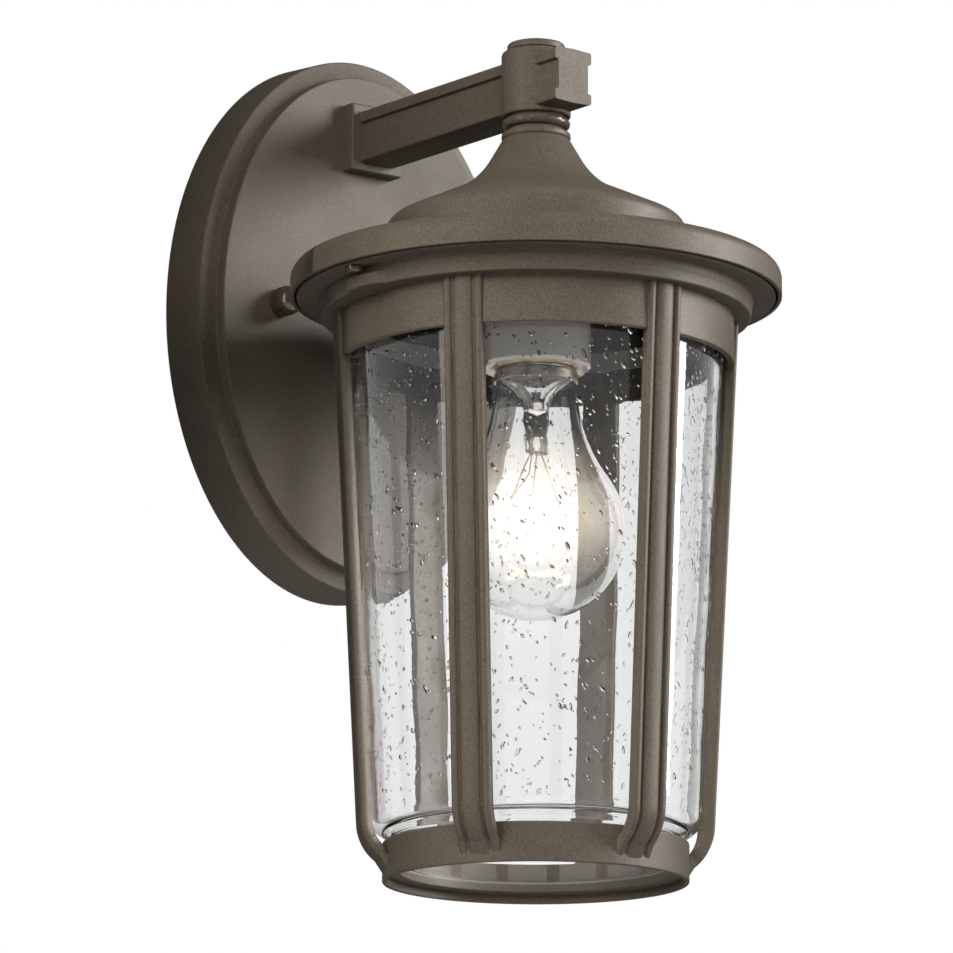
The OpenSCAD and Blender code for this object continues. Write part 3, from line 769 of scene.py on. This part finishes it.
def make_rib(index):
    """Reeded strip swept down the cage and curled in on to the bottom ring."""
    top, top_r, bend_r, lean, bend_end = high("rib_1").z, 68.6, 17.0, 3.0, 52.0
    run, bend_steps, tail = 12, 22, 8.0
    start = (top_r, top)
    bend = arc(RIB_BEND, bend_r, -lean, -bend_end, bend_steps)
    finish = math.radians(bend_end)
    end = (bend[-1][0] - tail * math.sin(finish), bend[-1][1] - tail * math.cos(finish))
    path = [start, *between(start, bend[0], run), *bend, end]
    tilt = [lean] * run + [lean + (bend_end - lean) * i / bend_steps for i in range(bend_steps + 1)] + [bend_end]

    def placed(radius, height):
        return AXIS + (OUT_OF_WALL * radius + UP * height) * MM

    def outward(degrees):
        turned = math.radians(degrees)
        return OUT_OF_WALL * math.cos(turned) - UP * math.sin(turned)

    bm = bmesh.new()
    sideways = Vector((1, 0, 0))
    section = [
        bm.verts.new(placed(*start) + (sideways * u - outward(lean) * inset) * MM)
        for u, inset in rib_section(13.4, 4.3)
    ]
    last = bm.faces.new(section)
    for k in range(1, len(path)):
        here = placed(*path[k - 1])
        shift = placed(*path[k]) - here
        swing = Matrix.Rotation(math.radians(tilt[k] - tilt[k - 1]), 3, sideways)

        def move(new):
            bmesh.ops.rotate(bm, verts=new, cent=here, matrix=swing)
            bmesh.ops.translate(bm, verts=new, vec=shift)

        last = extend(bm, last, move)
    ring_middle = 49.8
    reshape(bm, lambda radius, angle, height: max(radius, ring_middle))
    around = Matrix.Rotation(math.radians(-60 * (index - 1)), 3, "Z")
    bmesh.ops.rotate(bm, verts=bm.verts, cent=AXIS, matrix=around)
    piece(f"reeded_rib_{index}", bm, "cage", "bronze_powder_coat", [f"rib_{index}"])


def make_bottom_ring():
    """Plain band with a rounded top edge and a ledge inside that the glass stands on, with one small notch."""
    foot_r, lower, upper = radius_of("cage_bottom_ring"), low("cage_bottom_ring").z, high("cage_bottom_ring").z
    wall, ledge_top, ledge_low, ledge_r, notch_r = 1.6, -200.0, -202.6, 44.6, 46.2
    outline = [
        (foot_r - wall, lower, 0.4), (foot_r, lower, 0.5), (foot_r, upper, 2.0), (foot_r - wall - 0.6, upper, 0.3),
        (foot_r - wall, ledge_top + 3), (foot_r - wall, ledge_top, 0.3), (ledge_r, ledge_top, 0.4),
        (ledge_r, ledge_low, 0.3), (notch_r, ledge_low, 0), (notch_r + 0.05, ledge_low, 0),
        (foot_r - wall, ledge_low, 0.6),
    ]
    bm = bmesh.new()
    turn(bm, eased(outline, steps=5), steps=FINE_ROUND)
    notch_at, notch_half, notch_depth = math.radians(270 - 72), 3.0, 0.9
    for vert in bm.verts:
        radius, angle = polar(vert.co)
        sideways = abs(math.sin((angle - notch_at) / 2)) * 2 * radius
        if radius < notch_r + 0.02 and vert.co.z / MM < ledge_low + 0.5 and sideways < notch_half:
            vert.co.z += notch_depth * MM
    piece("cage_foot_ring", bm, "cage", "bronze_powder_coat", ["cage_bottom_ring"])


# ---------------------------------------------------------------- glass shade

GLASS_WALL = 2.6


def glass_radius(height):
    """Outer radius of the shade's straight part at a height."""
    top, top_r = high("glass_shade").z, radius_of("glass_shade")
    low_r, low_z = SHOULDER[0] + 6.0, SHOULDER[1]
    return low_r + (top_r - low_r) * (height - low_z) / (top - low_z)


def wave(radius, angle, height):
    """Slow unevenness of blown glass, the two faces of the wall out of step."""
    phase = 0.0 if radius > glass_radius(height) - GLASS_WALL / 2 else 2.1
    slow = math.sin(5 * angle + height / 11 + phase) + 0.8 * math.sin(9 * angle - height / 17 + 2 * phase)
    quick = 0.5 * math.sin(19 * angle + height / 6 - phase) + 0.4 * math.sin(31 * angle - height / 4.3)
    return 0.014 * (slow + quick)


def seed_places(count):
    """Where the bubbles sit in the wall and how large they are: angle, height, half length, half width."""
    top, bottom = high("glass_shade").z - 4, SHOULDER[1] + 2
    made = []
    for _ in range(count):
        share = SHOP.random() if SHOP.random() < 0.62 else SHOP.random() ** 2.4 * 0.55
        half_width = min(0.75, 0.26 + SHOP.expovariate(7.0))
        stretch = 1.3 + SHOP.expovariate(1.8)
        made.append((SHOP.uniform(0, math.tau), top + (bottom - top) * share, half_width * min(stretch, 3.0), half_width))
    return made


def add_seeds(bm, count):
    """Small air bubbles inside the wall, each one a closed hollow whose faces point into the air."""
    drop = bmesh.new()
    bmesh.ops.create_uvsphere(drop, u_segments=6, v_segments=4, radius=1)
    bmesh.ops.reverse_faces(drop, faces=drop.faces)
    hollow = bpy.data.meshes.new("hollow")
    drop.to_mesh(hollow)
    drop.free()
    for angle, height, half_length, half_width in seed_places(count):
        radial = Vector((math.cos(angle), math.sin(angle), 0))
        flat = min(half_width, 0.6)
        depth = SHOP.uniform(flat + 0.25, GLASS_WALL - flat - 0.25)
        centre = AXIS + (radial * (glass_radius(height) - depth) + UP * height) * MM
        lean = Matrix.Rotation(math.radians(SHOP.gauss(32, 14)), 3, radial)
        along = lean @ UP
        shape = Matrix((radial.cross(along) * half_width, radial * flat, along * half_length)).transposed() * MM
        seed = hollow.copy()
        seed.transform(Matrix.Translation(centre) @ shape.to_4x4())
        bm.from_mesh(seed)
        bpy.data.meshes.remove(seed)
    bpy.data.meshes.remove(hollow)


def make_shade():
    """Tapered shade open at both ends, its wall full of small bubbles."""
    top, bottom = high("glass_shade").z, low("glass_shade").z
    top_r, neck_r = radius_of("glass_shade"), 47.6
    low_r, low_z = SHOULDER[0] + 6.0, SHOULDER[1]
    outline = [
        (top_r - GLASS_WALL, top, 0.8), (top_r, top, 0.8), *between((top_r, top), (low_r, low_z), 44),
        *arc(SHOULDER, 6.0, 0, -76, 12), (neck_r + 0.6, low_z - 7.2), (neck_r, low_z - 8.4, 1.0),
        (neck_r, bottom, 0.9), (neck_r - GLASS_WALL, bottom, 0.9), (neck_r - GLASS_WALL, low_z - 6.0, 1.0),
        *arc(SHOULDER, 3.4, -86, 0, 10),
        *between((low_r - GLASS_WALL, low_z), (top_r - GLASS_WALL, top), 44),
    ]
    bm = bmesh.new()
    turn(bm, eased(outline), steps=200)
    reshape(bm, lambda radius, angle, height: radius + wave(radius, angle, height))
    bmesh.ops.recalc_face_normals(bm, faces=bm.faces)
    add_seeds(bm, 3300)
    piece("seeded_shade", bm, "cage", "seeded_glass", ["glass_shade"], settled=True)


# ---------------------------------------------------------------- bulb


def make_bulb():
    """Lit household bulb: clear envelope, glass stem, support wires, coiled filament and threaded base."""
    bulb_r, tip = radius_of("bulb_glass"), low("bulb_glass").z
    centre_z = tip + bulb_r
    neck_r, neck_top, blend_r, wall = 13.4, high("bulb_glass").z, 60.0, 0.8
    blend_z = centre_z + math.sqrt((bulb_r + blend_r) ** 2 - (neck_r + blend_r) ** 2)
    blend_at = math.degrees(math.asin((blend_z - centre_z) / (bulb_r + blend_r)))

    def envelope(inset):
        return [
            *arc((0, centre_z), bulb_r - inset, -90, blend_at, 36),
            *arc((neck_r + blend_r, blend_z), blend_r + inset, 180 + blend_at, 180, 16),
            (neck_r - inset, neck_top),
        ]

    bm = bmesh.new()
    turn(bm, [*envelope(0), *reversed(envelope(wall))], steps=ROUND)
    piece("bulb_envelope", bm, "bulb", "clear_bulb_glass", ["bulb_glass"])

    stem_low, press_top = low("bulb_stem").z, -50.0
    bm = bmesh.new()
    turn(
        bm,
        [
            (0, stem_low), *arc((3.2, stem_low + 1.2), 1.2, -90, 0, 4), (4.7, -58), (4.2, -55), (4.6, -51), (4.2, -47),
            (5.2, -43.5), (7.6, -39.8), (12.3, -36.6), (12.3, -35.6), (7.0, -38.6), (3.4, -42.5), (2.8, -47), (0, -49),
        ],
        steps=48,
    )
    for vert in bm.verts:
        if vert.co.z / MM < press_top:
            squeeze = min(1.0, (press_top - vert.co.z / MM) / 5)
            vert.co.y = AXIS.y + (vert.co.y - AXIS.y) * (1 - 0.5 * squeeze)
    piece("bulb_mount_stem", bm, "bulb", "clear_bulb_glass", ["bulb_stem"])

    coil_z = (low("bulb_filament").z + high("bulb_filament").z) / 2
    coil_r = radius_of("bulb_filament") - 0.6
    bm = bmesh.new()
    for side in (-1, 1):
        lead = [(side * 2, 0, stem_low + 3), (side * 2.2, 0, stem_low), (side * 5, 0, -67), (side * coil_r, 0, coil_z)]
        anchor = [(side * 0.9, 0.4, stem_low + 2), (side * 1.2, 2, -68), (side * coil_r * 0.5, coil_r * 0.85, coil_z + 0.4)]
        for path in (lead, anchor):
            part = tube_along(path, 0.26, 2)
            mesh = bpy.data.meshes.new("part")
            part.to_mesh(mesh)
            part.free()
            bm.from_mesh(mesh)
            bpy.data.meshes.remove(mesh)
    piece("bulb_lead_in_wires", bm, "bulb", "nickel_wire", ["bulb_support_wires"])

    turns, per_turn, turn_r = 76, 10, 0.45
    coil = []
    for i in range(turns * per_turn + 1):
        along = math.pi * i / (turns * per_turn)
        spin = math.tau * i / per_turn
        reach = coil_r + turn_r * math.cos(spin)
        coil.append((reach * math.cos(along), reach * math.sin(along), coil_z + turn_r * math.sin(spin)))
    piece("bulb_coiled_filament", tube_along(coil, 0.13, 1), "bulb", "glowing_filament", ["bulb_filament"])

    top, collar_low = high("bulb_base").z, low("bulb_base").z
    root_r, crest, pitch, thread_top, thread_low = 12.1, 0.8, 3.63, top - 2.4, top - 18.6
    shell = [
        (0, top - 1), (0, top), *eased([(9.0, top, 0.6), (root_r, thread_top, 0.8)]),
        *between((root_r, thread_top), (root_r, thread_low), 60), (root_r, thread_low),
        (neck_r + 0.45, thread_low - 1.0), (neck_r + 0.5, collar_low), (neck_r + 0.05, collar_low),
        (neck_r + 0.05, neck_top), (root_r - 0.7, neck_top), (root_r - 0.7, top - 2.4), (8.6, top - 1),
    ]
    bm = bmesh.new()
    turn(bm, shell, steps=72)

    def thread(radius, angle, height):
        if not (thread_low <= height <= thread_top and abs(radius - root_r) < 0.2):
            return radius
        fade = min(1.0, (thread_top - height) / 2, (height - thread_low) / 2)
        return radius + crest * fade * (0.5 + 0.5 * math.cos(math.tau * height / pitch - angle))

    reshape(bm, thread)
    piece("bulb_screw_shell", bm, "bulb", "bulb_base_metal", ["bulb_base"])


def finish_cad_nodes():
    """Gives each CAD node that still shows the finish of its own slot in the record."""
    for part in frame["record"]["subparts"]:
        node = frame["nodes"][part["node"]]
        node.data.materials.clear()
        node.data.materials.append(FINISHES[part["material_slot"]])


# ---------------------------------------------------------------- studio


def make_camera():
    """A long lens, low and to the left, looking up at the lantern."""
    low_corner, high_corner = cad_box
    centre = (low_corner + high_corner) / 2
    aim = centre + Vector((0.0155, 0.0346, -0.0037))
    stand_at = Vector((-1.2847, -1.6983, -0.4988))
    data = bpy.data.cameras.new("camera")
    data.sensor_width = 36
    data.lens = 235.94
    data.clip_start, data.clip_end = 0.1, 100
    camera = bpy.data.objects.new("camera", data)
    bpy.context.scene.collection.objects.link(camera)
    camera.location = stand_at
    roll = Matrix.Rotation(math.radians(0.14), 4, "Z")
    facing = (aim - stand_at).to_track_quat("-Z", "Y").to_matrix().to_4x4()
    camera.rotation_euler = (facing @ roll).to_euler()
    bpy.context.scene.camera = camera


def softbox(name, azimuth, elevation, distance, width, height, watts, mirrored=False):
    """An area lamp round the lantern. Azimuth 0 is straight in front, positive to the right."""
    centre = (cad_box[0] + cad_box[1]) / 2
    a, e = math.radians(azimuth), math.radians(elevation)
    towards = Vector((math.sin(a) * math.cos(e), -math.cos(a) * math.cos(e), math.sin(e)))
    data = bpy.data.lights.new(name, "AREA")
    data.shape = "RECTANGLE"
    data.size, data.size_y = width, height
    data.energy = watts
    lamp = bpy.data.objects.new(name, data)
    bpy.context.scene.collection.objects.link(lamp)
    lamp.location = centre + towards * distance
    lamp.rotation_euler = (-towards).to_track_quat("-Z", "Y").to_euler()
    lamp.visible_glossy = mirrored
    lamp.visible_transmission = False


def pale_floor():
    """A pale painted floor, lit evenly for the camera."""
    finish = Finish("pale_floor", Roughness=0.8)
    finish.shader.inputs["Base Color"].default_value = (0.7, 0.7, 0.69, 1)
    finish.shader.inputs["Emission Color"].default_value = (0.8, 0.8, 0.79, 1)
    path = finish.add("LightPath")
    seen = finish.add("Math", operation="MAXIMUM")
    finish.link(path.outputs["Is Camera Ray"], seen.inputs[0])
    finish.link(path.outputs["Is Transmission Ray"], seen.inputs[1])
    finish.link(seen.outputs[0], finish.shader.inputs["Emission Strength"])
    return finish.material


def studio_panel(name, centre, width, height, turned, material):
    """An upright panel beside the lantern that the camera does not see. Turned 0 faces the wall."""
    bm = bmesh.new()
    bmesh.ops.create_grid(bm, x_segments=1, y_segments=1, size=0.5)
    bmesh.ops.scale(bm, verts=bm.verts, vec=Vector((width, height, 1)))
    bmesh.ops.rotate(bm, verts=bm.verts, matrix=Matrix.Rotation(math.pi / 2, 3, "X"))
    bmesh.ops.rotate(bm, verts=bm.verts, matrix=Matrix.Rotation(math.radians(turned), 3, "Z"))
    bmesh.ops.translate(bm, verts=bm.verts, vec=Vector(centre))
    mesh = bpy.data.meshes.new(name)
    bm.to_mesh(mesh)
    bm.free()
    panel = bpy.data.objects.new(name, mesh)
    bpy.context.scene.collection.objects.link(panel)
    mesh.materials.append(material)
    panel.visible_camera = False
    panel.visible_transmission = False
    return panel


def shade_cards():
    """Two dark cards on the left that keep the side and front lamps off the wall plate."""
    dark = coated("dark_card", (0.02, 0.02, 0.02), (0.015, 0.015, 0.015), 0.9, 0.0)
    for name, centre, width, height, turned in (
        ("side_card", (-0.35, 0.05, 0), 0.41, 1.0, 90),
        ("front_card", (-0.145, -0.1, -0.095), 0.12, 0.21, 0),
    ):
        card = studio_panel(name, centre, width, height, turned, dark)
        card.visible_glossy = False


def light_strip():
    """A tall glowing strip on the left that is only seen mirrored, in the glass and in the glossy metal."""
    finish = Finish("strip_glow", Roughness=1.0)
    finish.shader.inputs["Base Color"].default_value = (0, 0, 0, 1)
    finish.shader.inputs["Emission Color"].default_value = (1.0, 0.99, 0.97, 1)
    finish.shader.inputs["Emission Strength"].default_value = 3.2
    finish.material.cycles.emission_sampling = "NONE"
    strip = studio_panel("left_strip", (-1.2, -0.05, 0.1), 0.22, 1.5, 84, finish.material)
    strip.visible_diffuse = False
    strip.visible_shadow = False


def make_studio():
    """White backdrop, a dim room for reflections, soft lamps and a pale floor well below."""
    scene = bpy.context.scene
    scene.view_settings.view_transform = "Standard"
    world = bpy.data.worlds.new("studio")
    scene.world = world
    world.use_nodes = True
    tree = world.node_tree
    room = tree.nodes["Background"]
    room.inputs["Color"].default_value = (1.0, 0.985, 0.96, 1)
    room.inputs["Strength"].default_value = 0.07
    backdrop = add_node(tree, "Background", Color=(1, 1, 1, 1), Strength=1.0)
    path = add_node(tree, "LightPath")
    seen = add_node(tree, "Math", operation="MAXIMUM")
    tree.links.new(path.outputs["Is Camera Ray"], seen.inputs[0])
    tree.links.new(path.outputs["Is Transmission Ray"], seen.inputs[1])
    before_walls = add_node(tree, "Math", operation="LESS_THAN")
    before_walls.inputs[1].default_value = 0.5
    tree.links.new(path.outputs["Diffuse Depth"], before_walls.inputs[0])
    direct = add_node(tree, "Math", operation="MULTIPLY")
    tree.links.new(seen.outputs[0], direct.inputs[0])
    tree.links.new(before_walls.outputs[0], direct.inputs[1])
    either = add_node(tree, "MixShader")
    tree.links.new(direct.outputs[0], either.inputs[0])
    tree.links.new(room.outputs[0], either.inputs[1])
    tree.links.new(backdrop.outputs[0], either.inputs[2])
    tree.links.new(either.outputs[0], tree.nodes["World Output"].inputs["Surface"])

    softbox("key", 52, 16, 1.7, 0.7, 0.9, 30, mirrored=True)
    softbox("front_fill", -28, 10, 2.2, 0.9, 0.9, 22)
    softbox("left_fill", -76, 26, 1.7, 0.6, 1.0, 31)
    softbox("top_back", 150, 60, 1.5, 0.6, 0.6, 4)
    softbox("wall_side", 178, 8, 1.8, 0.9, 0.9, 12)
    shade_cards()
    light_strip()

    floor_drop = 1.3
    bm = bmesh.new()
    bmesh.ops.create_grid(bm, x_segments=4, y_segments=4, size=20)
    bmesh.ops.translate(bm, verts=bm.verts, vec=UP * (cad_box[0].z - floor_drop))
    mesh = bpy.data.meshes.new("floor")
    bm.to_mesh(mesh)
    bm.free()
    floor = bpy.data.objects.new("floor", mesh)
    scene.collection.objects.link(floor)
    mesh.materials.append(pale_floor())


make_camera()
make_backplate()
make_collar()
make_arm()
make_neck_rings()
for side in ("left", "right"):
    make_cap_nut(side)
make_roof()
make_top_ring()
for rib in range(1, 7):
    make_rib(rib)
make_bottom_ring()
make_shade()
make_bulb()
finish_cad_nodes()
make_studio()
